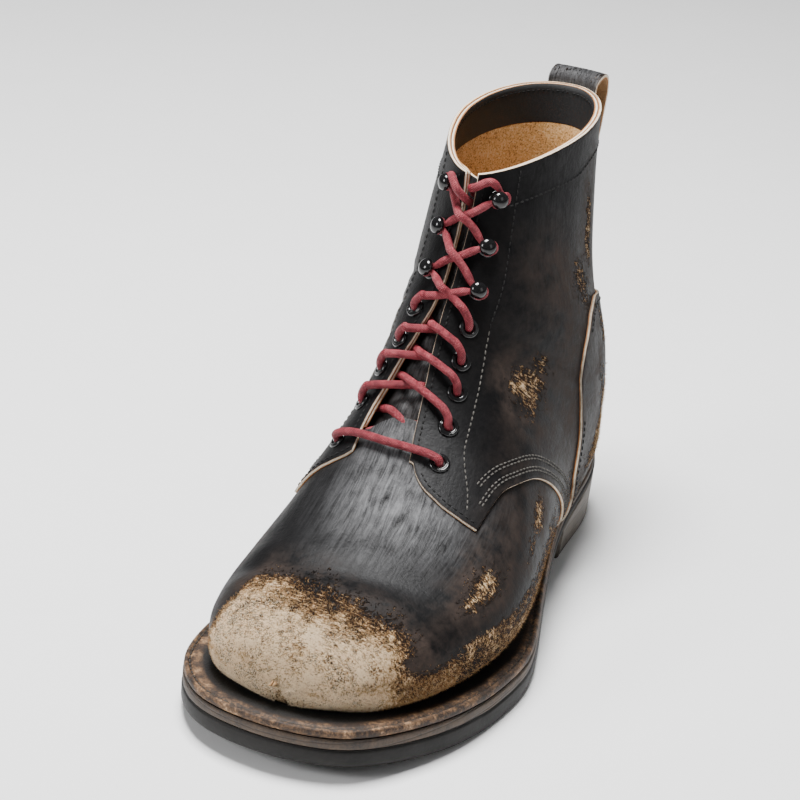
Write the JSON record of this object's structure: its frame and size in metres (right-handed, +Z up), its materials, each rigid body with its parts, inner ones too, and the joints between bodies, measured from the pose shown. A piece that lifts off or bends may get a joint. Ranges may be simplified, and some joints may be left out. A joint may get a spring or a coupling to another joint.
{
  "type": "motorcycle boot",
  "caption": "Worn ankle-high leather lace-up riding boot for the left foot, with eyelets and ball hooks, a heel counter, a pull loop, and a stacked sole with a low block heel.",
  "frame": {"origin": "centre of the whole boot in plan, at floor height", "axes": "+Z up, -Y towards the toe, +X towards the lateral (outer) side of this left boot"},
  "size_m": [0.1272, 0.3014, 0.2081],
  "materials": {
    "leather": "black waxed leather, scuffed to tan and cream at the toe and edges",
    "insole": "bare tan leather",
    "welt": "worn brown, stitched",
    "midsole": "worn brown edge",
    "outsole": "smooth dark grey rubber",
    "heel": "dusty olive-grey rubber",
    "lace": "round woven cord, faded crimson",
    "metal": "gloss black, worn bright at the edges"
  },
  "bodies": {
    "root": {"eyelet_1_lateral": "metal", "eyelet_1_medial": "metal", "eyelet_2_lateral": "metal", "eyelet_2_medial": "metal", "eyelet_3_lateral": "metal", "eyelet_3_medial": "metal", "eyelet_4_lateral": "metal", "eyelet_4_medial": "metal", "eyelet_5_lateral": "metal", "eyelet_5_medial": "metal", "heel": "heel", "heel_counter": "leather", "hook_1_lateral": "metal", "hook_1_medial": "metal", "hook_2_lateral": "metal", "hook_2_medial": "metal", "hook_3_lateral": "metal", "hook_3_medial": "metal", "insole": "insole", "lace_bar": "lace", "lace_cross_1": "lace", "lace_cross_2": "lace", "lace_cross_3": "lace", "lace_cross_4": "lace", "lace_cross_5": "lace", "lace_cross_6": "lace", "lace_cross_7": "lace", "lace_end_lateral": "lace", "lace_end_medial": "lace", "midsole": "midsole", "outsole": "outsole", "pull_loop": "leather", "tongue": "leather", "upper": "leather", "welt": "welt"}
  },
  "joints": []
}
